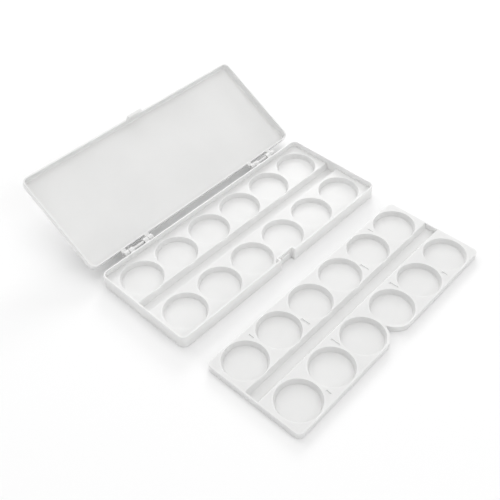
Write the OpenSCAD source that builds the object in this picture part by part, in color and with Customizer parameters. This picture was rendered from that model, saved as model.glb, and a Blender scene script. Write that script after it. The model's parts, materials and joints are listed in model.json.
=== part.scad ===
// Folding paint palette: a base with two rows of round wells and a brush channel,
// a shallow mixing lid that folds back on two pinned hinges, and a lift-out tray
// with two more rows of wells. Shown open, with the tray lifted out in front.
// The origin is on the table, under the middle of the base.

/* [Wells] */
// Wells in one row
wells_per_row = 6; // [2:1:6]
// Spacing of the wells along a row
well_pitch = 32; // [31:0.1:32.5]
// Spacing between the two rows
row_gap = 42.7; // [42:0.1:44]
// Width of a well at its mouth
well_mouth_d = 30.4; // [20:0.1:31]
// Width of a well at its floor
well_floor_d = 27.8; // [18:0.1:30]
// Depth of a well
well_depth = 3.9; // [2:0.1:4]

/* [Brush channel] */
// Width of the channel at its mouth
channel_w = 10.6; // [8:0.1:11]
// How far each side of the channel slopes in
channel_slope = 1.9; // [0:0.1:3]
// How far the channel sits behind the middle of the wells
channel_shift = 0.8; // [0:0.1:1.2]

/* [Base] */
// Length of the base
base_l = 200; // [199:0.5:210]
// Width of the base, front to back
base_w = 81.4; // [81:0.2:90]
// Height of the base
base_h = 10.4; // [9:0.1:16]
// Height of the deck the wells are sunk in
deck_z = 5.9; // [5.2:0.1:8]
// Radius of the upright corners
corner_r = 5; // [4:0.1:8]
// Thickness of the outer walls
wall = 1.2; // [0.9:0.1:1.6]
// Thickness of decks and floors
plate = 1.1; // [0.8:0.1:1.3]

/* [Lid] */
// Length of the lid
lid_l = 201; // [200:0.5:211]
// Width of the lid
lid_w = 80; // [78:0.2:88]
// Outside height of the lid
lid_h = 7; // [5:0.1:10]
// Radius of the long edges under the lid
lid_edge_r = 2.4; // [1.4:0.1:2.4]
// How far the front of the lid stands out over the base
lid_over = 0.4; // [0:0.1:1]
// Angle the lid opens through
open_angle = 151; // [90:1:175]

/* [Latch] */
// Width of the latch tab
tab_w = 13; // [8:0.5:16]
// Length of the latch tab below the rim of the lid
tab_len = 5.5; // [3:0.1:8]
// Thickness of the latch tab
tab_t = 1.4; // [1:0.1:2]
// Depth of the recess in the front wall of the base
recess_d = 3.4; // [3:0.1:3.6]
// Height of the catch ridge and of the hook on the tab
catch_h = 1.1; // [0.6:0.1:2]

/* [Hinges] */
// Distance from the middle of the base to the middle of each hinge
hinge_x = 64; // [30:0.5:80]
// Length of a hinge
hinge_len = 25.4; // [16:0.2:40]
// Width of each knuckle
knuckle_w = 3.8; // [2:0.1:6]
// Outside diameter of the knuckles
knuckle_d = 4; // [3.4:0.1:4]
// Diameter of the hinge pin
pin_d = 2; // [1.4:0.1:2.2]
// Distance of the hinge pin behind the back wall
hinge_back = 2.3; // [2.3:0.1:4]
// Distance of the hinge pin below the rim of the base
hinge_drop = 0.8; // [0:0.1:1]

/* [Tray] */
// Length of the tray
tray_l = 196.6; // [194:0.2:197]
// Width of the tray
tray_w = 75.2; // [74:0.2:77]
// Height of the tray
tray_h = 5.2; // [5.2:0.1:6]
// Radius of the upright corners of the tray
tray_corner_r = 4; // [2:0.1:6]
// Radius of the tray wall around the two middle front wells
notch_r = 17; // [16.6:0.1:17.4]
// Sideways offset of the tray on the table
tray_x = -1.5; // [-20:0.1:20]
// Distance of the tray in front of the base, middle to middle
tray_y = 96.9; // [82:0.1:160]
// Turn of the tray on the table
tray_turn = 0.95; // [-10:0.05:10]
// Width of the four long grooves in the deck of the tray
groove_w = 1.6; // [1:0.1:2]
// Length of the four long grooves
groove_len = 7; // [4:0.1:7.4]
// Distance of the long grooves from the middle of the channel
groove_y = 12.2; // [11:0.1:12.6]
// Width of the four short grooves
nick_w = 1.1; // [0.8:0.1:1.6]
// Length of the four short grooves
nick_len = 4; // [2:0.1:5]
// Distance of the short grooves from the middle of the wells
nick_y = 31; // [30:0.1:32]
// Depth of all the grooves
groove_d = 0.5; // [0.2:0.1:0.6]

/* [Fits] */
// Gap kept between pieces that move past each other
gap = 0.3; // [0.2:0.05:0.5]
// Running clearance of the lid knuckles on the pin, on the radius
pin_play = 0.06; // [0.01:0.01:0.1]

/* [Hidden] */
$fn = 96;
eps = 0.1;
shell_color = [0.94, 0.94, 0.93];
pin_color = [0.88, 0.88, 0.87];
hinge_y = base_w / 2 + hinge_back;
hinge_z = base_h - hinge_drop;
knuckle_r = knuckle_d / 2;
lid_tilt = 180 - open_angle;
lid_rim_drop = hinge_drop + gap;
lid_near = hinge_y + base_w / 2 + lid_over - lid_w;
lid_far = lid_near + lid_w;
tab_root = 3;
hook_t = 0.8;
recess_side_gap = 0.5;
recess_w = tab_w + 2 * recess_side_gap;
catch_t = recess_d + lid_over - tab_t - hook_t - gap;
catch_z = base_h - tab_len + catch_h + 2 * gap;
catch_w = 0.6 * tab_w;
knuckle_in = hinge_len / 2 - 2 * knuckle_w - gap;
arm_t = 1.9;
heel = hinge_back - gap;
heel_w = 1.2;
web_root = 0.6;
base_channel_d = deck_z - plate;
tray_channel_d = tray_h - plate;

// Upright block with rounded corners, standing on z = 0
module block(l, w, h, r) {
    translate([-l / 2, r - w / 2, 0]) cube([l, w - 2 * r, h]);
    translate([r - l / 2, -w / 2, 0]) cube([l - 2 * r, w, h]);
    for (sx = [-1, 1])
        for (sy = [-1, 1])
            translate([sx * (l / 2 - r), sy * (w / 2 - r), 0]) cylinder(h = h, r = r);
}

// Section of a bar whose two lower edges are rounded
module soft_section(w, h, e) {
    translate([e - w / 2, 0]) square([w - 2 * e, h]);
    translate([-w / 2, e]) square([w, h - e]);
    for (s = [-1, 1])
        translate([s * (w / 2 - e), e]) circle(r = e);
}

// Corner post whose lower edge is rounded
module soft_post(h, r, e) {
    rotate_extrude() {
        square([r - e, h]);
        translate([0, e]) square([r, h - e]);
        translate([r - e, e]) circle(r = e);
    }
}

// Block with rounded corners and a rounded edge all round its underside
module soft_block(l, w, h, r, e) {
    rotate([90, 0, 90])
        linear_extrude(height = l - 2 * r, center = true) soft_section(w, h, e);
    rotate([90, 0, 0])
        linear_extrude(height = w - 2 * r, center = true) soft_section(l, h, e);
    for (sx = [-1, 1])
        for (sy = [-1, 1])
            translate([sx * (l / 2 - r), sy * (w / 2 - r), 0]) soft_post(h, r, e);
}

// Repeats its child at the middle of every well
module at_wells() {
    for (row = [-1, 1])
        for (i = [0 : wells_per_row - 1])
            translate([(i - (wells_per_row - 1) / 2) * well_pitch, row * row_gap / 2, 0])
                children();
}

// Hollow of one well, with its mouth at height z
module well_hollow(z) {
    translate([0, 0, z - well_depth])
        cylinder(h = well_depth, d1 = well_floor_d, d2 = well_mouth_d);
    translate([0, 0, z - eps]) cylinder(h = 1, d = well_mouth_d);
}

// Wall and floor around one well, before it is hollowed out
module well_cup(z) {
    translate([0, 0, z - well_depth - plate + eps])
        cylinder(h = well_depth + plate - eps,
                 d1 = well_floor_d + 2 * plate - eps, d2 = well_mouth_d + 2 * plate);
}

// Bar with sloping sides that makes the channel or the trough around it
module channel_bar(l, top, bottom, z, d) {
    translate([0, channel_shift, z - d])
        rotate([90, 0, 90])
            linear_extrude(height = l, center = true)
                polygon([[-bottom / 2, 0], [bottom / 2, 0], [top / 2, d], [-top / 2, d]]);
}

// Hollow of the brush channel, with its mouth at height z
module channel_hollow(l, z, d) {
    channel_bar(l, channel_w, channel_w - 2 * channel_slope, z, d);
    translate([-l / 2, channel_shift - channel_w / 2, z - eps / 2]) cube([l, channel_w, 1]);
}

// Walls and floor around the brush channel, before it is hollowed out
module channel_trough(l, z, d) {
    channel_bar(l, channel_w + 2 * plate, channel_w - 2 * channel_slope + 2 * plate, z, d + plate);
}

// Repeats its child at the middle of both hinges
module at_hinges() {
    for (s = [-1, 1])
        translate([s * hinge_x, hinge_y, hinge_z]) children();
}

// Round bar along x, its near end at x and its axis on y = z = 0
module barrel(x, w, r) {
    translate([x, 0, 0]) rotate([0, 90, 0]) cylinder(h = w, r = r);
}

// Knuckle of the base, standing out from the back wall
module base_knuckle(x) {
    barrel(x, knuckle_w, knuckle_r);
    translate([x, -hinge_back - web_root, -knuckle_r])
        cube([knuckle_w, hinge_back + web_root, knuckle_r + hinge_drop]);
}

// Knuckle of the lid, with the arm that joins it to the lid and the heel that stops it
module lid_knuckle(x) {
    barrel(x, knuckle_w, knuckle_r);
    translate([x, 0, -lid_rim_drop - arm_t]) cube([knuckle_w, lid_near + web_root, arm_t]);
    rotate([-lid_tilt, 0, 0])
        translate([x, -heel, -heel]) cube([knuckle_w, heel_w, heel_w]);
}

// Wells, deck, outer walls and latch recess in one piece
module base() {
    inner_l = base_l - 2 * wall;
    inner_w = base_w - 2 * wall;
    inner_r = corner_r - wall;
    color(shell_color) difference() {
        union() {
            difference() {
                block(base_l, base_w, base_h, corner_r);
                translate([0, 0, deck_z]) block(inner_l, inner_w, base_h, inner_r);
                translate([0, 0, -1]) block(inner_l, inner_w, deck_z - plate + 1, inner_r);
            }
            at_wells() well_cup(deck_z);
            channel_trough(inner_l + wall, deck_z, base_channel_d);
            translate([-recess_w / 2 - wall, -base_w / 2, 0])
                cube([recess_w + 2 * wall, recess_d + wall, base_h]);
            at_hinges()
                for (x = [-knuckle_in - knuckle_w, knuckle_in]) base_knuckle(x);
        }
        at_wells() well_hollow(deck_z);
        channel_hollow(inner_l, deck_z, base_channel_d);
        difference() {
            translate([-recess_w / 2, -base_w / 2 - 1, -1])
                cube([recess_w, recess_d + 1, base_h + 2]);
            translate([-catch_w / 2, recess_d - base_w / 2 - catch_t, catch_z])
                cube([catch_w, catch_t + 1, catch_h]);
        }
        at_hinges() barrel(-hinge_len / 2, hinge_len, pin_d / 2);
    }
}

// Mixing lid, laid back on its stop
module lid() {
    floor_z = -lid_rim_drop - lid_h;
    mid_y = (lid_near + lid_far) / 2;
    color(shell_color) translate([0, hinge_y, hinge_z]) rotate([lid_tilt, 0, 0]) {
        difference() {
            translate([0, mid_y, floor_z]) soft_block(lid_l, lid_w, lid_h, corner_r, lid_edge_r);
            translate([0, mid_y, floor_z + wall])
                soft_block(lid_l - 2 * wall, lid_w - 2 * wall, lid_h, corner_r - wall,
                           lid_edge_r - wall);
        }
        translate([-tab_w / 2, lid_far - tab_t, -lid_rim_drop - tab_root])
            cube([tab_w, tab_t, tab_root + tab_len]);
        translate([-tab_w / 2, lid_far - tab_t - hook_t, tab_len - lid_rim_drop - catch_h])
            cube([tab_w, tab_t + hook_t - eps, catch_h]);
        for (s = [-1, 1])
            translate([s * hinge_x, 0, 0])
                difference() {
                    for (x = [-hinge_len / 2, hinge_len / 2 - knuckle_w]) lid_knuckle(x);
                    barrel(-hinge_len, 2 * hinge_len, pin_d / 2 + pin_play);
                }
    }
}

// Two middle front wells of the tray, as upright cylinders
module notch_cylinders(r) {
    for (s = [-1, 1])
        translate([s * well_pitch / 2, -row_gap / 2, -1]) cylinder(h = tray_h + 2, r = r);
}

// Space in front of the two middle wells that the tray leaves open
module notch(h) {
    difference() {
        translate([-well_pitch / 2, -tray_w, -1]) cube([well_pitch, tray_w - row_gap / 2, h + 2]);
        notch_cylinders(notch_r);
    }
}

// Shallow groove in the deck of the tray
module deck_groove(x, y, w, l) {
    translate([x - w / 2, y - l / 2, tray_h - groove_d]) cube([w, l, groove_d + 1]);
}

// Lift-out tray, lying on the table
module tray() {
    inner_l = tray_l - 2 * wall;
    color(shell_color) translate([tray_x, -tray_y, 0]) rotate([0, 0, tray_turn])
        difference() {
            union() {
                difference() {
                    block(tray_l, tray_w, tray_h, tray_corner_r);
                    translate([0, 0, -1])
                        block(inner_l, tray_w - 2 * wall, tray_h - plate + 1, tray_corner_r - wall);
                }
                at_wells() well_cup(tray_h);
                channel_trough(inner_l + wall, tray_h, tray_channel_d);
                intersection() {
                    translate([-well_pitch / 2, -tray_w / 2, 0])
                        cube([well_pitch, (tray_w - row_gap) / 2, tray_h]);
                    difference() {
                        notch_cylinders(notch_r);
                        notch_cylinders(notch_r - wall);
                    }
                }
            }
            at_wells() well_hollow(tray_h);
            channel_hollow(inner_l, tray_h, tray_channel_d);
            notch(tray_h);
            for (sx = [-1, 1])
                for (sy = [-1, 1]) {
                    deck_groove(sx * well_pitch, channel_shift + sy * groove_y,
                                groove_w, groove_len);
                    deck_groove(sx * 2 * well_pitch, sy * nick_y, nick_w, nick_len);
                }
        }
}

// Rod through the knuckles of one hinge
module hinge_pin(side) {
    color(pin_color) translate([side * hinge_x, hinge_y, hinge_z])
        barrel(-hinge_len / 2, hinge_len, pin_d / 2);
}

base();
lid();
tray();
hinge_pin(-1);  // hinge_pin_left
hinge_pin(1);  // hinge_pin_right
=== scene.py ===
# %% [markdown]
# # A folding paint palette in white plastic
# The real palette is three thin-walled mouldings: a base with two rows of round wells
# and a channel for the brush, a shallow lid for mixing on, and a loose tray with two
# more rows of wells. Two short hinges join the lid to the base. Everything is the same
# white plastic, so the look rests on three things: rounded edges that catch the light,
# soft shadows in the wells, and a finish that is not quite even.
#
# The imported model gives the frame that every piece must fit. It is loaded first, and
# its outer box is kept and printed, and the table is laid just below it.

import json
from math import asin, atan2, cos, degrees, pi, radians, sin

import bmesh
import bpy
from mathutils import Matrix, Vector


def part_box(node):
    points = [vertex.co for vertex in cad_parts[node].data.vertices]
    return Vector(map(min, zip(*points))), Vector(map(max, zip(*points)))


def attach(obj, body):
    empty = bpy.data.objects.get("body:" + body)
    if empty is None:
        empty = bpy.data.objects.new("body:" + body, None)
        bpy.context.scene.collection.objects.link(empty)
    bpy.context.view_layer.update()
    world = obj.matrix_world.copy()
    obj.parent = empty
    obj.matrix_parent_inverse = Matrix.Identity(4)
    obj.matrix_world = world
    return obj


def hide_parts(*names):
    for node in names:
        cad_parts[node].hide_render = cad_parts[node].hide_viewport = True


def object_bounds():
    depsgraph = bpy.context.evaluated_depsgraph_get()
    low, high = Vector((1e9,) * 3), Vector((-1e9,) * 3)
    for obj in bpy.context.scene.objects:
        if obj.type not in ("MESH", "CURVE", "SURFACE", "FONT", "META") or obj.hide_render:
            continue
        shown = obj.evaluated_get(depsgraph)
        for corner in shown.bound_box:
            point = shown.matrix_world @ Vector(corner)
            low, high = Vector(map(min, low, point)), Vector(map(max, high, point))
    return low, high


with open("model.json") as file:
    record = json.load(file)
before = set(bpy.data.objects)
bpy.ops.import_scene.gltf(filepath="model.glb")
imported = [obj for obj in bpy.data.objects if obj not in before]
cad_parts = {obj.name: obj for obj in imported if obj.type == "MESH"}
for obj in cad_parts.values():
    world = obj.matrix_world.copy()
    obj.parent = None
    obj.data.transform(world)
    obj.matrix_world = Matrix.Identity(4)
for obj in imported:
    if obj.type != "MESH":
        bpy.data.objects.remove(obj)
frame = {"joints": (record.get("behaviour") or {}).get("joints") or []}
frame_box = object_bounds()
print("frame box, mm:", [[round(v * 1000, 2) for v in corner] for corner in frame_box])

# %% [markdown]
# ## The camera
# The camera stands in front and to the left, a little over half a metre away, and
# looks down at about 46 degrees. From so close, the near corner of the tray looks
# larger than the far corner of the lid. The camera is turned by a matrix made of three
# plain turns, because one set by a single "look at" call can't be rolled.

# %% Camera
camera = bpy.data.objects.new("camera", bpy.data.cameras.new("camera"))
bpy.context.scene.collection.objects.link(camera)
camera.data.sensor_width = 36.0
camera.data.lens = 53.81
camera.data.clip_start, camera.data.clip_end = 0.01, 20.0
turn, rise, roll = radians(-46.50), radians(46.19), radians(-0.456)
camera.matrix_world = (Matrix.Translation((-0.27540, -0.26531, 0.38492))
                       @ Matrix.Rotation(turn, 4, "Z")
                       @ Matrix.Rotation(pi / 2 - rise, 4, "X")
                       @ Matrix.Rotation(roll, 4, "Z"))
bpy.context.scene.camera = camera
print("camera height above the table, mm:", round(camera.location.z * 1000, 1))

# %% [markdown]
# ## Sizes
# A moulder's drawing is in millimetres, and so are all the sizes here. Each piece is
# modelled in millimetres and brought to metres once, when it is finished. The outside
# sizes are read from the frame, so they can't drift away from it. Only the sizes that
# a box can't tell, such as the thickness of a wall, are written down.

# %% Sizes in millimetres
def box_mm(node):
    """Size, lowest corner and middle of a node's box."""
    low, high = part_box(node)
    size = (high - low) * 1000
    low, high = low * 1000, high * 1000
    return size, low, (low + high) / 2


base_size, base_low, _ = box_mm("base")
lid_size = box_mm("lid")[0]
tray_size, _, TRAY_MIDDLE = box_mm("tray")
pin_size, _, pin_middle = box_mm("hinge_pin_right")
hinge = frame["joints"][0]

WALL, PLATE = 1.2, 1.1                  # outer walls; decks and floors
WELLS, PITCH, ROW_GAP = 6, 32.0, 42.7   # wells in a row, and their spacing
MOUTH_R, FLOOR_R, WELL_DEEP = 15.2, 13.9, 3.9
CHANNEL_W, CHANNEL_SLOPE, CHANNEL_SHIFT = 10.6, 1.9, 0.8

BASE_L, BASE_W, BASE_H = base_size.x, -2 * base_low.y, 10.4
DECK_Z, CORNER_R = 5.9, 5.0
TRAY_L, TRAY_W, TRAY_H, TRAY_CORNER_R = 196.6, 75.2, tray_size.z, 4.0
TRAY_TURN = radians(0.95)
LID_L, LID_W, LID_H, LID_EDGE_R = lid_size.x, 80.0, 7.0, 2.4
HINGE_Y, HINGE_Z = hinge["pos_m"][1] * 1000, hinge["pos_m"][2] * 1000
LID_TILT = pi - radians(hinge["range_deg"][1])
LID_NEAR, RIM_DROP = 4.1, 1.1           # rim of the lid, from the axis of the hinge
HINGE_X, HINGE_LEN, PIN_R = pin_middle.x, pin_size.x, pin_size.y / 2
OVER = 1.0                              # how far a cutting form reaches past a face
print("base", round(BASE_L, 2), round(BASE_W, 2), "tray", round(TRAY_H, 2),
      "lid tilt", round(degrees(LID_TILT), 2), "hinge", round(HINGE_Y, 2), round(HINGE_Z, 2))

# %% [markdown]
# ## Forms made by stacking outlines
# A moulding has no sharp edge: the mould's own edges are a little round, and plastic
# doesn't fill a sharp corner. A bevel modifier could round a boxy model afterwards, but
# it fails where edges crowd, as they do where the wells pass close to the channel. So
# the rounding is built in from the start. A form is a stack of outlines, each a little
# larger or smaller than the one below, and the quarter circle of an edge is just a few
# more outlines in the stack. The same stack makes a solid and a hollow to cut with.

# %% Stacks of outlines
ARC_STEPS, CORNER_STEPS = 4, 10


def arc(middle, height, radius, start, end, steps=ARC_STEPS):
    """Points (outset, height) on an arc, angles in degrees from straight outwards."""
    angles = [radians(start + (end - start) * k / steps) for k in range(steps + 1)]
    return [(middle + radius * cos(a), height + radius * sin(a)) for a in angles]


def rounded_outline(length, width, radius):
    """Rectangle with round corners, anticlockwise, the same count for any size."""
    points = []
    for sx, sy, start in ((1, 1, 0), (-1, 1, 90), (-1, -1, 180), (1, -1, 270)):
        for k in range(CORNER_STEPS + 1):
            a = radians(start + 90 * k / CORNER_STEPS)
            points.append((sx * (length / 2 - radius) + radius * cos(a),
                           sy * (width / 2 - radius) + radius * sin(a)))
    return points


def new_piece(name, build):
    """An object from a function that fills a bmesh, with its faces turned outwards."""
    bm = bmesh.new()
    build(bm)
    bmesh.ops.recalc_face_normals(bm, faces=bm.faces)
    mesh = bpy.data.meshes.new(name)
    bm.to_mesh(mesh)
    bm.free()
    piece = bpy.data.objects.new(name, mesh)
    bpy.context.scene.collection.objects.link(piece)
    return piece


def stack(name, outlines):
    """A closed solid through a list of outlines, each a list of (x, y, z)."""
    def build(bm):
        rings = [[bm.verts.new(p) for p in outline] for outline in outlines]
        for lower, upper in zip(rings, rings[1:]):
            for i in range(len(lower)):
                j = (i + 1) % len(lower)
                bm.faces.new((lower[i], lower[j], upper[j], upper[i]))
        bm.faces.new(rings[0])
        bm.faces.new(rings[-1])
    return new_piece(name, build)


def slab(name, length, width, radius, profile, at=(0, 0), least=0.04):
    """Rounded rectangle stacked through a profile of (outset, height)."""
    outlines = []
    for out, z in profile:
        edge = rounded_outline(length + 2 * out, width + 2 * out, max(radius + out, least))
        outlines.append([(x + at[0], y + at[1], z) for x, y in edge])
    return stack(name, outlines)


def turned(name, profile, steps=72):
    """Round form turned about the upright axis from a profile of (radius, height)."""
    ring = [2 * pi * k / steps for k in range(steps)]
    return stack(name, [[(r * cos(a), r * sin(a), z) for a in ring] for r, z in profile])


def bar(name, section, length):
    """A section of (y, z) points drawn out along x, half to each side of x = 0."""
    return stack(name, [[(x, y, z) for y, z in section] for x in (-length / 2, length / 2)])


def rounded_sides(low, high, foot, top):
    """Profile of a solid's side, its lower and upper edges rounded by foot and top."""
    return ([(-foot, low)] + arc(-foot, low + foot, foot, -90, 0)[1:]
            + arc(-top, high - top, top, 0, 90))


trial = slab("trial", 20, 10, 2, rounded_sides(0, 5, 0.4, 0.4))
print("a trial slab has", len(trial.data.polygons), "faces")
bpy.data.objects.remove(trial)

# %% [markdown]
# ## Joining and cutting
# A mould is two blocks of steel with the shape of the plastic between them. The model
# is made the same way: a blank, less everything that the steel fills. Boolean cuts do
# that. The exact solver is the right one here, because many faces lie in one plane,
# such as the decks and the rims.

# %% Joining and cutting
def settled(piece):
    """Turns a piece's modifiers into plain mesh."""
    graph = bpy.context.evaluated_depsgraph_get()
    mesh = bpy.data.meshes.new_from_object(piece.evaluated_get(graph), depsgraph=graph)
    piece.modifiers.clear()
    old, piece.data = piece.data, mesh
    bpy.data.meshes.remove(old)
    return piece


def combine(piece, tool, operation):
    """Joins a tool to a piece or cuts it away, and uses the tool up."""
    step = piece.modifiers.new("step", "BOOLEAN")
    step.operation, step.solver, step.object = operation, "EXACT", tool
    settled(piece)
    bpy.data.objects.remove(tool)
    return piece


def cut(piece, tool):
    return combine(piece, tool, "DIFFERENCE")


def join(piece, tool):
    return combine(piece, tool, "UNION")


# %% [markdown]
# ## One tree for everything that repeats
# Twelve wells lie in two straight rows, and the grooves of the tray lie in two rows as
# well. A loop could copy them one by one. A Geometry Nodes tree is better: the rule of
# the rows is in it once, with the number and the spacing as inputs, and any form can be
# handed to it. Its points are the corners of a grid. The form is placed on each point,
# and all the copies are cut from the piece in one go.

# %% The tree that cuts forms in rows
def rows_tree():
    tree = bpy.data.node_groups.new("cut_in_rows", "GeometryNodeTree")
    sockets = (("Geometry", "NodeSocketGeometry"), ("Form", "NodeSocketObject"),
               ("Per Row", "NodeSocketInt"), ("Pitch", "NodeSocketFloat"),
               ("Row Gap", "NodeSocketFloat"), ("Middle", "NodeSocketVector"),
               ("Finish", "NodeSocketMaterial"))
    for name, kind in sockets:
        tree.interface.new_socket(name, in_out="INPUT", socket_type=kind)
    tree.interface.new_socket("Geometry", in_out="OUTPUT", socket_type="NodeSocketGeometry")
    add, link = tree.nodes.new, tree.links.new
    given, result = add("NodeGroupInput"), add("NodeGroupOutput")

    less_one = add("ShaderNodeMath")
    less_one.operation = "SUBTRACT"
    less_one.inputs[1].default_value = 1
    link(given.outputs["Per Row"], less_one.inputs[0])
    span = add("ShaderNodeMath")
    span.operation = "MULTIPLY"
    link(less_one.outputs[0], span.inputs[0])
    link(given.outputs["Pitch"], span.inputs[1])

    grid = add("GeometryNodeMeshGrid")
    grid.inputs["Vertices Y"].default_value = 2
    link(span.outputs[0], grid.inputs["Size X"])
    link(given.outputs["Row Gap"], grid.inputs["Size Y"])
    link(given.outputs["Per Row"], grid.inputs["Vertices X"])
    placed = add("GeometryNodeTransform")
    link(grid.outputs["Mesh"], placed.inputs["Geometry"])
    link(given.outputs["Middle"], placed.inputs["Translation"])

    form = add("GeometryNodeObjectInfo")
    link(given.outputs["Form"], form.inputs["Object"])
    copies = add("GeometryNodeInstanceOnPoints")
    link(placed.outputs["Geometry"], copies.inputs["Points"])
    link(form.outputs["Geometry"], copies.inputs["Instance"])
    real = add("GeometryNodeRealizeInstances")
    link(copies.outputs["Instances"], real.inputs["Geometry"])

    cutting = add("GeometryNodeMeshBoolean")
    cutting.operation, cutting.solver = "DIFFERENCE", "EXACT"
    link(given.outputs["Geometry"], cutting.inputs["Mesh 1"])
    link(real.outputs["Geometry"], cutting.inputs["Mesh 2"])
    whole = add("GeometryNodeRealizeInstances")
    link(cutting.outputs["Mesh"], whole.inputs["Geometry"])
    finish = add("GeometryNodeSetMaterial")
    link(whole.outputs["Geometry"], finish.inputs["Geometry"])
    link(given.outputs["Finish"], finish.inputs["Material"])
    link(finish.outputs["Geometry"], result.inputs["Geometry"])
    return tree


CUT_IN_ROWS = rows_tree()


def cut_in_rows(piece, form, finish, per_row=WELLS, pitch=PITCH, row_gap=ROW_GAP,
                middle=(0, 0, 0)):
    """Cuts a form from a piece on every point of two rows, and uses the form up."""
    values = {"Form": form, "Per Row": per_row, "Pitch": pitch, "Row Gap": row_gap,
              "Middle": middle, "Finish": finish}
    step = piece.modifiers.new("rows", "NODES")
    step.node_group = CUT_IN_ROWS
    for item in CUT_IN_ROWS.interface.items_tree:
        if item.in_out == "INPUT" and item.name in values:
            step[item.identifier] = values[item.name]
    settled(piece)
    bpy.data.objects.remove(form)
    return piece


print("tree nodes:", len(CUT_IN_ROWS.nodes))

# %% [markdown]
# ## White moulded plastic
# White polystyrene is not one even white. The colour drifts very slightly as the melt
# cools, the polish of the mould varies from place to place, and the surface carries a
# fine grain and a few hair marks from handling. A flat colour would look like paper.
# The finish is built from noise in the piece's own coordinates: a wide drift in the
# colour, a middle-sized change in the gloss, and a fine bump. A slow, very shallow
# bump stands for the slight waviness of a thin wall, which bends the reflections. Light
# also spreads a little way inside the plastic, which softens the shading of thin edges.

# %% Finishes
SCATTER = 0.0015                        # how far light spreads inside the plastic, m
DRIFT, POLISH, WAVE, GRAIN = 28, 110, 45, 2600      # scale of each noise, per metre
WAVE_DEEP, GRAIN_DEEP = 0.0002, 0.00004             # depth of the two bumps, m


def warm_grey(value):
    return (value, value, value - 0.005, 1)


def moulded_plastic(name, light, dark, roughness, shift):
    """White plastic between two greys. The shift gives each piece its own pattern."""
    finish = bpy.data.materials.new(name)
    finish.use_nodes = True
    tree = finish.node_tree
    add, link = tree.nodes.new, tree.links.new
    shader = tree.nodes["Principled BSDF"]
    shader.inputs["IOR"].default_value = 1.52
    shader.inputs["Specular IOR Level"].default_value = 0.5
    shader.inputs["Subsurface Weight"].default_value = 0.9
    shader.inputs["Subsurface Radius"].default_value = (1, 1, 1)
    shader.inputs["Subsurface Scale"].default_value = SCATTER
    place = add("ShaderNodeTexCoord")
    shifted = add("ShaderNodeMapping")
    shifted.inputs["Location"].default_value = (shift, -shift, shift / 2)
    link(place.outputs["Object"], shifted.inputs["Vector"])

    def noise(scale, detail, rough=0.5):
        node = add("ShaderNodeTexNoise")
        node.inputs["Scale"].default_value = scale
        node.inputs["Detail"].default_value = detail
        node.inputs["Roughness"].default_value = rough
        link(shifted.outputs["Vector"], node.inputs["Vector"])
        return node.outputs["Fac"]

    drift = add("ShaderNodeValToRGB")
    for stop, position, grey in zip(drift.color_ramp.elements, (0.35, 0.65), (dark, light)):
        stop.position, stop.color = position, warm_grey(grey)
    link(noise(DRIFT, 3), drift.inputs["Fac"])
    link(drift.outputs["Color"], shader.inputs["Base Color"])

    def remapped(source, **ranges):
        node = add("ShaderNodeMapRange")
        for socket, value in ranges.items():
            node.inputs[socket.replace("_", " ").title()].default_value = value
        link(source, node.inputs["Value"])
        return node.outputs["Result"]

    # hair marks: noise drawn out along one direction, kept only at its peaks
    drawn = add("ShaderNodeMapping")
    drawn.inputs["Rotation"].default_value = (0, 0, radians(27))
    drawn.inputs["Scale"].default_value = (60, 2600, 60)
    link(shifted.outputs["Vector"], drawn.inputs["Vector"])
    marks = add("ShaderNodeTexNoise")
    marks.inputs["Scale"].default_value = 1.0
    marks.inputs["Detail"].default_value = 2
    link(drawn.outputs["Vector"], marks.inputs["Vector"])
    peaks = remapped(marks.outputs["Fac"], from_min=0.66, from_max=0.76, to_min=0, to_max=0.12)
    polish = remapped(noise(POLISH, 4), from_min=0.3, from_max=0.7,
                      to_min=roughness - 0.05, to_max=roughness + 0.06)
    total = add("ShaderNodeMath")
    total.operation, total.use_clamp = "ADD", True
    link(polish, total.inputs[0])
    link(peaks, total.inputs[1])
    link(total.outputs[0], shader.inputs["Roughness"])

    wave = add("ShaderNodeBump")
    wave.inputs["Strength"].default_value = 0.25
    wave.inputs["Distance"].default_value = WAVE_DEEP
    link(noise(WAVE, 2), wave.inputs["Height"])
    grain = add("ShaderNodeBump")
    grain.inputs["Strength"].default_value = 0.12
    grain.inputs["Distance"].default_value = GRAIN_DEEP
    link(noise(GRAIN, 3, 0.6), grain.inputs["Height"])
    link(wave.outputs["Normal"], grain.inputs["Normal"])
    link(grain.outputs["Normal"], shader.inputs["Normal"])
    return finish


# The base gets the plain grey. The lid and the tray are the same plastic but get slightly
# darker greys: painted shade for the lid tipped away from the light and for less light on the
# tray.
BASE_WHITE = moulded_plastic("base_white", 0.815, 0.795, 0.36, 0.0)
LID_PAINTED_SHADE_WHITE = moulded_plastic("lid_painted_shade_white", 0.80, 0.78, 0.34, 3.1)
TRAY_PAINTED_SHADE_WHITE = moulded_plastic("tray_painted_shade_white", 0.79, 0.77, 0.38, 7.3)
PIN_WHITE = moulded_plastic("pin_white", 0.74, 0.70, 0.30, 11.9)
print("finishes:", [m.name for m in bpy.data.materials if m.name.endswith("white")])

# %% [markdown]
# ## Forms for the wells and the channel
# A well is a shallow round dish with a sloping wall, a small fillet round its floor and
# a soft lip. It is a turned form, so its profile says everything. The lip flares out
# over the last fifth of a millimetre, which rounds the edge of the deck when the form
# is cut from it. The underside needs a second form, the cup: the same dish, thicker by
# one plate. The brush channel gets the same pair, drawn out straight.

# %% Wells and channel
LIP, FILLET, FOOT_R = 0.22, 0.35, 0.3   # rounds at mouths, at floors, at the table
UNDER_R, SKIRT_R = 0.5, 0.25            # rounds on the underside, and inside its walls
WELL_FILLET_AT, CHANNEL_FILLET_AT = 0.25, 0.2   # middle of a fillet, from its wall
CUP_SLOPE = 15
WELL_SLOPE = atan2(MOUTH_R - FLOOR_R, WELL_DEEP) * 180 / pi


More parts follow.
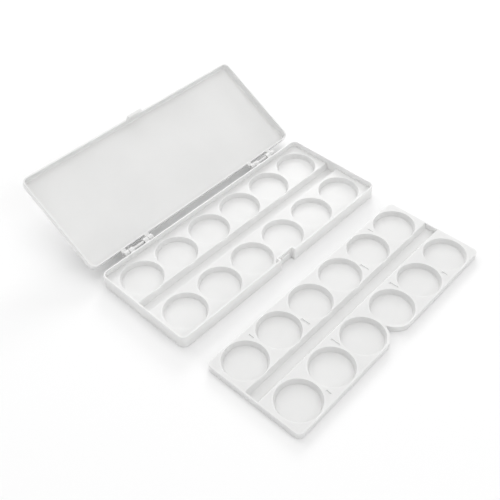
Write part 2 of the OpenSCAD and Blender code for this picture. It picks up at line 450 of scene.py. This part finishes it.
def well_form(deck):
    floor, lip_at = deck - WELL_DEEP, MOUTH_R + LIP
    fillet_at = FLOOR_R - WELL_FILLET_AT
    profile = [(fillet_at, floor)]
    profile += arc(fillet_at, floor + FILLET, FILLET, -90, -WELL_SLOPE)[1:]
    profile += arc(lip_at, deck - LIP, LIP, 180 - WELL_SLOPE, 90)
    return turned("well", profile + [(lip_at, deck + OVER)])


def cup_form(deck):
    floor = deck - WELL_DEEP - PLATE
    bottom, top = FLOOR_R + PLATE, MOUTH_R + PLATE
    profile = [(bottom - UNDER_R, floor)]
    profile += arc(bottom - UNDER_R, floor + UNDER_R, UNDER_R, -90, -CUP_SLOPE)[1:]
    return turned("cup", profile + [(top, deck), (top, deck + OVER)])


def two_sided(side):
    """Section of a channel from its one side, given as (half width, height) points."""
    section = side + [(-y, z) for y, z in reversed(side)]
    return [(y + CHANNEL_SHIFT, z) for y, z in section]


def channel_form(deck, length):
    deep = deck - PLATE
    foot, mouth = CHANNEL_W / 2 - CHANNEL_SLOPE, CHANNEL_W / 2
    slope = atan2(CHANNEL_SLOPE, deep) * 180 / pi
    fillet_at = foot - CHANNEL_FILLET_AT
    side = [(fillet_at, PLATE)] + arc(fillet_at, PLATE + FILLET, FILLET, -90, -slope)[1:]
    side += arc(mouth + LIP, deck - LIP, LIP, 180 - slope, 90) + [(mouth + LIP, deck + OVER)]
    return bar("channel", two_sided(side), length)


def trough_form(deck, length):
    foot, mouth = CHANNEL_W / 2 - CHANNEL_SLOPE + PLATE, CHANNEL_W / 2 + PLATE
    foot_r = 0.4
    side = [(foot - foot_r, -2 * OVER)] + arc(foot - foot_r, foot_r, foot_r, -90, 0)
    side += [(mouth, deck), (mouth, deck + OVER)]
    return bar("trough", two_sided(side), length)


def underside(length, width, radius, deck, finish):
    """Everything that is hollow below a deck, with the cups and the trough left standing."""
    profile = [(SKIRT_R, -OVER)] + arc(SKIRT_R, SKIRT_R, SKIRT_R, -90, -180)
    profile += arc(-UNDER_R, deck - PLATE - UNDER_R, UNDER_R, 0, 90)
    hollow = slab("underside", length - 2 * WALL, width - 2 * WALL, radius - WALL, profile)
    cut_in_rows(hollow, cup_form(deck), finish)
    return cut(hollow, trough_form(deck, length))


def lipped(out, low, high):
    """Profile of a hole right through a plate, with round edges at both faces."""
    lip = LIP * 0.8                     # a little smaller than the lip of a well
    return ([(out + lip, low - OVER)] + arc(out + lip, low + lip, lip, -90, -180)
            + arc(out + lip, high - lip, lip, 180, 90) + [(out + lip, high + OVER)])


print("well slope, degrees:", round(WELL_SLOPE, 1))

# %% [markdown]
# ## Hinge knuckles
# Each hinge is four short barrels in line with a pin through them: the outer two belong
# to the lid and the inner two to the base, with bare pin between them. The barrel is a
# bar with a round section, its ends taken in a little so that neighbours don't look
# fused. A block ties it to its shell.

# %% Knuckles
KNUCKLE_W, KNUCKLE_R, END_ROUND, KNUCKLE_GAP = 3.8, 2.0, 0.25, 0.3


def barrel(name, x, width, radius, end_round=END_ROUND, steps=40):
    """Round bar along x about y = z = 0, with rounded ends."""
    profile = [(radius - end_round, x)]
    profile += arc(radius - end_round, x + end_round, end_round, -90, 0)[1:]
    profile += arc(radius - end_round, x + width - end_round, end_round, 0, 90)
    ring = [2 * pi * k / steps for k in range(steps)]
    return stack(name, [[(along, r * cos(a), r * sin(a)) for a in ring]
                        for r, along in profile])


def rounded_block(name, x, y, z, e=0.25):
    """Block between (low, high) pairs, its upright edges and its top and foot rounded."""
    length, width = x[1] - x[0], y[1] - y[0]
    return slab(name, length, width, 2 * e, rounded_sides(z[0], z[1], e, e),
                at=(x[0] + length / 2, y[0] + width / 2))


def moved(piece, matrix):
    piece.data.transform(matrix)
    return piece


def bored(piece, side, radius, y=0, z=0):
    """Drills one hinge of a piece along x."""
    bore = barrel("bore", -HINGE_LEN, 2 * HINGE_LEN, radius)
    return cut(piece, moved(bore, Matrix.Translation((side * HINGE_X, y, z))))


knuckle_inner = HINGE_LEN / 2 - 2 * KNUCKLE_W - KNUCKLE_GAP
print("bare pin between the knuckles, mm:", round(2 * knuckle_inner, 2))

# %% [markdown]
# ## Finishing a piece
# After the cuts a piece is a mesh of many flat faces. It is shaded smooth, its true
# edges are marked sharp, and the normals are weighted by the area of the faces, so that
# the large flats stay flat and only the narrow roundings turn the light. Then it is
# brought from millimetres to metres and set to ride on its body.

# %% Finishing
MERGE, SHARP_ANGLE = 0.004, radians(38)


def finished(piece, finish, node, body):
    bm = bmesh.new()
    bm.from_mesh(piece.data)
    bmesh.ops.remove_doubles(bm, verts=bm.verts, dist=MERGE)
    bmesh.ops.dissolve_degenerate(bm, edges=bm.edges, dist=MERGE)
    for face in bm.faces:
        face.smooth = True
    for edge in bm.edges:
        edge.smooth = edge.calc_face_angle(pi) < SHARP_ANGLE
    loose = sum(1 for edge in bm.edges if len(edge.link_faces) != 2)
    bm.to_mesh(piece.data)
    bm.free()
    weights = piece.modifiers.new("weights", "WEIGHTED_NORMAL")
    weights.keep_sharp = True
    settled(piece)
    piece.data.transform(Matrix.Scale(0.001, 4))
    piece.data.materials.clear()
    piece.data.materials.append(finish)
    for polygon in piece.data.polygons:
        polygon.material_index = 0
    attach(piece, body)
    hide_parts(node)
    print(piece.name, len(piece.data.polygons), "faces,", loose, "open edges")


# %% [markdown]
# ## The base
# The base starts as a plain slab. The pocket above the deck, the hollow below it, the
# wells and the channel are cut away, which leaves walls and floors about a millimetre
# thick. The recess for the latch is a bay in the front wall, so its own walls are left
# standing in the pocket and in the hollow before those are cut. The catch inside it is
# a small ridge that the hook of the lid snaps under.

# %% Base
BASE_TOP_R, RECESS_W, RECESS_D, RECESS_R, BAY_R = 0.7, 14.0, 3.4, 0.5, 0.8
CATCH_W, CATCH_T, CATCH_Z, CATCH_H, CATCH_R, CATCH_ROOT = 7.8, 1.3, 6.6, 1.1, 0.3, 0.5
TIE_IN, TIE_OUT = 2.9, 0.4              # block behind a knuckle, from the hinge axis
front = -BASE_W / 2


def base_blank():
    return slab("base_body", BASE_L, BASE_W, CORNER_R,
                rounded_sides(0, BASE_H, FOOT_R, BASE_TOP_R))


def base_pocket():
    profile = ([(-FILLET, DECK_Z)] + arc(-FILLET, DECK_Z + FILLET, FILLET, -90, 0)[1:]
               + arc(LIP, BASE_H - LIP, LIP, 180, 90) + [(LIP, BASE_H + OVER)])
    return slab("pocket", BASE_L - 2 * WALL, BASE_W - 2 * WALL, CORNER_R - WALL, profile)


def recess_bay():
    wide, deep = RECESS_W + 2 * WALL, RECESS_D + WALL
    profile = [(0, -2 * OVER), (0, BASE_H - LIP)] + arc(-LIP, BASE_H - LIP, LIP, 0, 90)[1:]
    return slab("bay", wide, 2 * deep, BAY_R, profile, at=(0, front))


def recess_hole():
    return slab("recess", RECESS_W, 2 * RECESS_D, RECESS_R, lipped(0, 0, BASE_H),
                at=(0, front))


def base_knuckle(side, x):
    turned_out = barrel("knuckle", x, KNUCKLE_W, KNUCKLE_R)
    tie = rounded_block("tie", (x, x + KNUCKLE_W), (-TIE_IN, TIE_OUT),
                        (-KNUCKLE_R, BASE_H - HINGE_Z))
    join(turned_out, tie)
    return moved(turned_out, Matrix.Translation((side * HINGE_X, HINGE_Y, HINGE_Z)))


base = base_blank()
cut(base, cut(base_pocket(), recess_bay()))
cut(base, cut(underside(BASE_L, BASE_W, CORNER_R, DECK_Z, BASE_WHITE), recess_bay()))
cut_in_rows(base, well_form(DECK_Z), BASE_WHITE)
cut(base, channel_form(DECK_Z, BASE_L - 2 * WALL))
cut(base, recess_hole())
join(base, rounded_block("catch", (-CATCH_W / 2, CATCH_W / 2),
                         (front + RECESS_D - CATCH_T, front + RECESS_D + CATCH_ROOT),
                         (CATCH_Z, CATCH_Z + CATCH_H), CATCH_R))
for side in (-1, 1):
    for x in (-knuckle_inner - KNUCKLE_W, knuckle_inner):
        join(base, base_knuckle(side, x))
    bored(base, side, PIN_R, HINGE_Y, HINGE_Z)
finished(base, BASE_WHITE, "base", "base")

# %% [markdown]
# ## The lid
# The lid is a shallow pan with a generous round along its lower edges, laid back on its
# stop. No cut is needed for it: one stack of outlines goes up the outside, over the rim
# and down the inside, and closes on itself. The latch tab continues the far wall beyond
# the rim and carries a small hook. The arms of the hinge reach back to the knuckles.

# %% Lid
RIM_OUT_R, RIM_IN_R = 0.35, 0.3
TAB_W, TAB_LEN, TAB_T, TAB_ROOT, TAB_R, HOOK_T = 13.0, 5.5, 1.4, 3.0, 0.3, 0.8
ARM_START, ARM_ROOT, ARM_T = 0.2, 0.6, 1.9
HEEL, HEEL_W, HEEL_R, PIN_PLAY = 2.0, 1.2, 0.15, 0.06
SLIM, SLIMMER = 0.01, 0.02              # keep joined blocks from sharing a face
lid_middle = LID_NEAR + LID_W / 2
lid_far = LID_NEAR + LID_W
lid_foot = -RIM_DROP - LID_H


def lid_pan():
    edge, rim, inner = LID_EDGE_R, -RIM_DROP, LID_EDGE_R - WALL
    outside = [(-edge, lid_foot)] + arc(-edge, lid_foot + edge, edge, -90, 0, 8)[1:]
    outside += arc(-RIM_OUT_R, rim - RIM_OUT_R, RIM_OUT_R, 0, 90)
    inside = arc(-WALL + RIM_IN_R, rim - RIM_IN_R, RIM_IN_R, 90, 180)
    inside += arc(-WALL - inner, lid_foot + WALL + inner, inner, 0, -90, 6)
    return slab("lid_body", LID_L, LID_W, CORNER_R, outside + inside, at=(0, lid_middle))


def latch_tab():
    tip = TAB_LEN - RIM_DROP
    tab = rounded_block("tab", (-TAB_W / 2, TAB_W / 2), (lid_far - TAB_T, lid_far),
                        (-RIM_DROP - TAB_ROOT, tip), TAB_R)
    hook = rounded_block("hook", (-TAB_W / 2 + SLIMMER, TAB_W / 2 - SLIMMER),
                         (lid_far - TAB_T - HOOK_T, lid_far - TAB_R),
                         (tip - CATCH_H, tip - SLIMMER), TAB_R)
    return join(tab, hook)


def lid_knuckle(side, x):
    knuckle = barrel("knuckle", x, KNUCKLE_W, KNUCKLE_R)
    arm = rounded_block("arm", (x + SLIM, x + KNUCKLE_W - SLIM),
                        (ARM_START, LID_NEAR + ARM_ROOT), (-RIM_DROP - ARM_T, -RIM_DROP))
    heel_span = (-HEEL, -HEEL + HEEL_W)
    heel = rounded_block("heel", (x + SLIMMER, x + KNUCKLE_W - SLIMMER), heel_span, heel_span,
                         HEEL_R)
    join(knuckle, arm)
    join(knuckle, moved(heel, Matrix.Rotation(-LID_TILT, 4, "X")))
    return moved(knuckle, Matrix.Translation((side * HINGE_X, 0, 0)))


lid = lid_pan()
join(lid, latch_tab())
for side in (-1, 1):
    for x in (-HINGE_LEN / 2, HINGE_LEN / 2 - KNUCKLE_W):
        join(lid, lid_knuckle(side, x))
    bored(lid, side, PIN_R + PIN_PLAY)
moved(lid, Matrix.Translation((0, HINGE_Y, HINGE_Z)) @ Matrix.Rotation(LID_TILT, 4, "X"))
finished(lid, LID_PAINTED_SHADE_WHITE, "lid", "lid")

# %% [markdown]
# ## The tray
# The tray is the base without its walls: a slab with the same wells and channel, and a
# short skirt that it stands on. Between the two middle wells of the front row the skirt
# turns in round the wells and leaves a notch for a fingertip. The outline of the notch
# is two arcs that meet in a point. Their number of steps is 25 and not 24, because 24
# puts every fourth corner in line with a corner of a cup, and the cut then leaves a
# stray sheet across the hollow. Eight shallow grooves are sunk in the deck between the
# wells. They lie in rows too, so the same tree cuts them.

# %% Tray
NOTCH_R, NOTCH_STEPS, NOTCH_OPEN = 17.0, 25, 4.0
GROOVE_W, GROOVE_LEN, GROOVE_Y = 1.6, 7.0, 12.2
NICK_W, NICK_LEN, NICK_Y = 1.1, 4.0, 31.0
GROOVE_DEEP, GROOVE_R, GROOVE_LIP, TRAY_TOP_R = 0.5, 0.3, 0.2, 0.6


def notch_form(out, profile):
    """The notch, between arcs round the two middle wells, its wall moved by out."""
    outlines = []
    for more, z in profile:
        r = NOTCH_R - out - more
        first = pi / 2 - asin(min(1, PITCH / 2 / r))
        turn_by = (pi / 2 - first) / NOTCH_STEPS
        angles = [first + turn_by * k for k in range(NOTCH_STEPS + 1)]
        left = [(-PITCH / 2 + r * sin(pi / 2 - a), -ROW_GAP / 2 - r * sin(a)) for a in angles]
        right = [(-x, y) for x, y in reversed(left)]
        front_y = -TRAY_W / 2 - NOTCH_OPEN
        outline = right + left[1:] + [(-PITCH / 2, front_y), (PITCH / 2, front_y)]
        outlines.append([(x, y, z) for x, y in outline])
    return stack("notch", outlines)


def groove_form(width, length):
    profile = [(0, TRAY_H - GROOVE_DEEP)]
    profile += arc(GROOVE_LIP, TRAY_H - GROOVE_LIP, GROOVE_LIP, 180, 90)
    profile += [(GROOVE_LIP, TRAY_H + OVER)]
    return slab("groove", width, length, GROOVE_R, profile)


def tray_blank():
    return slab("tray_body", TRAY_L, TRAY_W, TRAY_CORNER_R,
                rounded_sides(0, TRAY_H, FOOT_R, TRAY_TOP_R))


tray = tray_blank()
hollow = underside(TRAY_L, TRAY_W, TRAY_CORNER_R, TRAY_H, TRAY_PAINTED_SHADE_WHITE)
cut(hollow, notch_form(WALL, [(0, -2 * OVER), (0, TRAY_H + 2 * OVER)]))
cut(tray, hollow)
cut_in_rows(tray, well_form(TRAY_H), TRAY_PAINTED_SHADE_WHITE)
cut(tray, channel_form(TRAY_H, TRAY_L - 2 * WALL))
cut(tray, notch_form(0, lipped(0, 0, TRAY_H)))
cut_in_rows(tray, groove_form(GROOVE_W, GROOVE_LEN), TRAY_PAINTED_SHADE_WHITE, 2, 2 * PITCH, 2 * GROOVE_Y,
            (0, CHANNEL_SHIFT, 0))
cut_in_rows(tray, groove_form(NICK_W, NICK_LEN), TRAY_PAINTED_SHADE_WHITE, 2, 4 * PITCH, 2 * NICK_Y)
moved(tray, Matrix.Translation((TRAY_MIDDLE.x, TRAY_MIDDLE.y, 0))
      @ Matrix.Rotation(TRAY_TURN, 4, "Z"))
finished(tray, TRAY_PAINTED_SHADE_WHITE, "tray", "tray")

# %% [markdown]
# ## The hinge pins
# Each hinge turns on a thin plastic rod, bare for a few millimetres in the middle. It
# is a turned bar with small rounds at its ends, pressed into the knuckles of the base.

# %% Pins
PIN_END_R = 0.2
for name, side in (("hinge_pin_left", -1), ("hinge_pin_right", 1)):
    pin = barrel(name.replace("hinge_pin", "pin"), -HINGE_LEN / 2, HINGE_LEN, PIN_R, PIN_END_R)
    moved(pin, Matrix.Translation((side * HINGE_X, HINGE_Y, HINGE_Z)))
    finished(pin, PIN_WHITE, name, "base")

# %% [markdown]
# ## Table and light
# The palette lies on a plain white table. The light is what shows the shape of a white
# thing. The broad source overhead is a little behind and to the right, so the walls that
# face the camera are a shade darker than the decks. A smaller, lower source on the same
# side puts a soft shadow to the left of each piece. The sources behind, in front and to
# the left, and an even glow from all round, keep the shadows pale.

# %% Table and light
def table():
    mesh = bpy.data.meshes.new("table")
    half, low = 4.0, frame_box[0].z - 0.00002      # a hair below, to share no face
    corners = [(-half, -half, low), (half, -half, low), (half, half, low), (-half, half, low)]
    mesh.from_pydata(corners, [], [(0, 1, 2, 3)])
    top = bpy.data.objects.new("table", mesh)
    bpy.context.scene.collection.objects.link(top)
    paper = bpy.data.materials.new("table_white")
    paper.use_nodes = True
    shader = paper.node_tree.nodes["Principled BSDF"]
    shader.inputs["Base Color"].default_value = (0.94, 0.94, 0.94, 1)
    shader.inputs["Roughness"].default_value = 0.8
    mesh.materials.append(paper)


def soft_light(name, at, size, power):
    """Rectangular light that faces the middle of the table."""
    lamp = bpy.data.objects.new(name, bpy.data.lights.new(name, "AREA"))
    bpy.context.scene.collection.objects.link(lamp)
    lamp.data.shape, lamp.data.size, lamp.data.size_y = "RECTANGLE", size[0], size[1]
    lamp.data.energy = power
    lamp.location = at
    aim = Vector((0, -0.03, 0)) - Vector(at)
    lamp.rotation_euler = aim.to_track_quat("-Z", "Y").to_euler()


table()
soft_light("overhead", (0.5, 0.3, 1.6), (1.6, 1.6), 6.3)
soft_light("behind", (0.0, 1.4, 1.1), (1.2, 0.8), 4.8)
soft_light("low behind right", (1.25, 0.9, 0.75), (0.6, 0.5), 6.8)
soft_light("front", (0.2, -1.4, 1.1), (1.2, 0.8), 5.1)
soft_light("left", (-1.4, 0.0, 1.1), (0.8, 1.2), 1.8)
glow = bpy.data.worlds.new("glow")
bpy.context.scene.world = glow
glow.use_nodes = True
glow.node_tree.nodes["Background"].inputs["Color"].default_value = (1, 1, 1, 1)
glow.node_tree.nodes["Background"].inputs["Strength"].default_value = 0.62
bpy.context.scene.view_settings.view_transform = "Standard"
